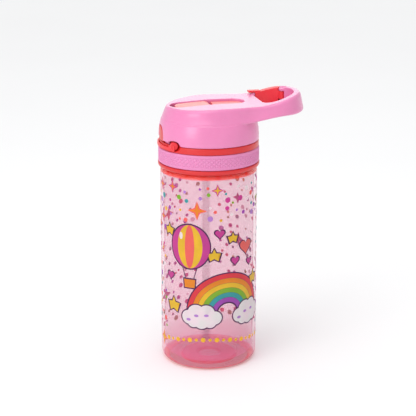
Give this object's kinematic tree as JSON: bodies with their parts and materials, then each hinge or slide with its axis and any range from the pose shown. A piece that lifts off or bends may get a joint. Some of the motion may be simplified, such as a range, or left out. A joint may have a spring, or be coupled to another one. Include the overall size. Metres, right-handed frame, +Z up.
{
  "type": "kids water bottle",
  "caption": "Clear cylindrical drinking bottle with a screw cap, latched flip cover, fold-up straw nozzle and a carry loop with a spring gate.",
  "frame": {"origin": "centre of the flat pad in the middle of the base, on the surface the bottle stands on", "axes": "+Z up along the bottle, +X towards the carry loop, -X towards the push button, +Y the gate's side"},
  "size_m": [0.1055, 0.0732, 0.1989],
  "materials": {
    "body_clear": "clear pink-tinted copolyester, printed outside, high gloss",
    "cap_red": "moulded satin red plastic",
    "cover_pink": "moulded satin pink plastic",
    "grip_pink": "soft pink silicone with a fine diamond texture",
    "coral": "soft-touch coral plastic",
    "silicone_white": "food-grade silicone, matte",
    "straw_clear": "clear pink extruded tube",
    "steel": "drawn stainless wire and pin"
  },
  "bodies": {
    "bottle": {"bottle_body": "body_clear"},
    "neck_ring": {"neck_seal": "silicone_white"},
    "cap": {"screw_cap": "cap_red", "grip_band": "grip_pink", "straw": "straw_clear", "straw_socket": "silicone_white", "vent_valve": "silicone_white", "drink_spout": "coral", "cover_hinge_pin": "steel", "button_spring": "steel", "bail_pin_left": "steel", "bail_pin_right": "steel"},
    "button": {"push_button": "cap_red"},
    "bail": {"lock_bail": "cap_red"},
    "cover": {"flip_cover": "cover_pink", "spout_seal": "silicone_white", "nozzle_gasket": "silicone_white", "nozzle_retainer": "coral", "gate_pin": "steel", "gate_spring": "steel"},
    "nozzle": {"nozzle": "coral"},
    "gate": {"handle_gate": "cap_red"}
  },
  "joints": [
    {"name": "cap_rise", "type": "slide", "parent": "bottle", "child": "neck_ring", "axis": [0, 0, 1], "range_m": [0, 0.0051]},
    {"name": "cap_unscrew", "type": "hinge", "parent": "neck_ring", "child": "cap", "pos_m": [0, 0, 0.155], "axis": [0, 0, 1], "range_deg": [0, 450]},
    {"name": "cover_flip", "type": "hinge", "parent": "cap", "child": "cover", "pos_m": [0.0336, 0, 0.1688], "axis": [0, 1, 0], "range_deg": [0, 100]},
    {"name": "button_press", "type": "slide", "parent": "cap", "child": "button", "axis": [1, 0, 0], "range_m": [0, 0.002], "stiffness_N_per_m": 400, "springref_m": -0.001},
    {"name": "bail_lift", "type": "hinge", "parent": "cap", "child": "bail", "pos_m": [-0.0291, 0, 0.1656], "axis": [0, 1, 0], "range_deg": [0, 25]},
    {"name": "nozzle_flip", "type": "hinge", "parent": "cover", "child": "nozzle", "pos_m": [-0.002, 0, 0.187], "axis": [0, 1, 0], "range_deg": [0, 90]},
    {"name": "gate_swing", "type": "hinge", "parent": "cover", "child": "gate", "pos_m": [0.0578, 0.0145, 0.192], "axis": [0, 0, 1], "range_deg": [0, 28], "stiffness_Nm_per_rad": 0.02, "springref_deg": -11.46}
  ],
  "couplings": [
    {"joint": "cap_rise", "follows": "cap_unscrew", "m_per_rad": 0.00063662}
  ]
}
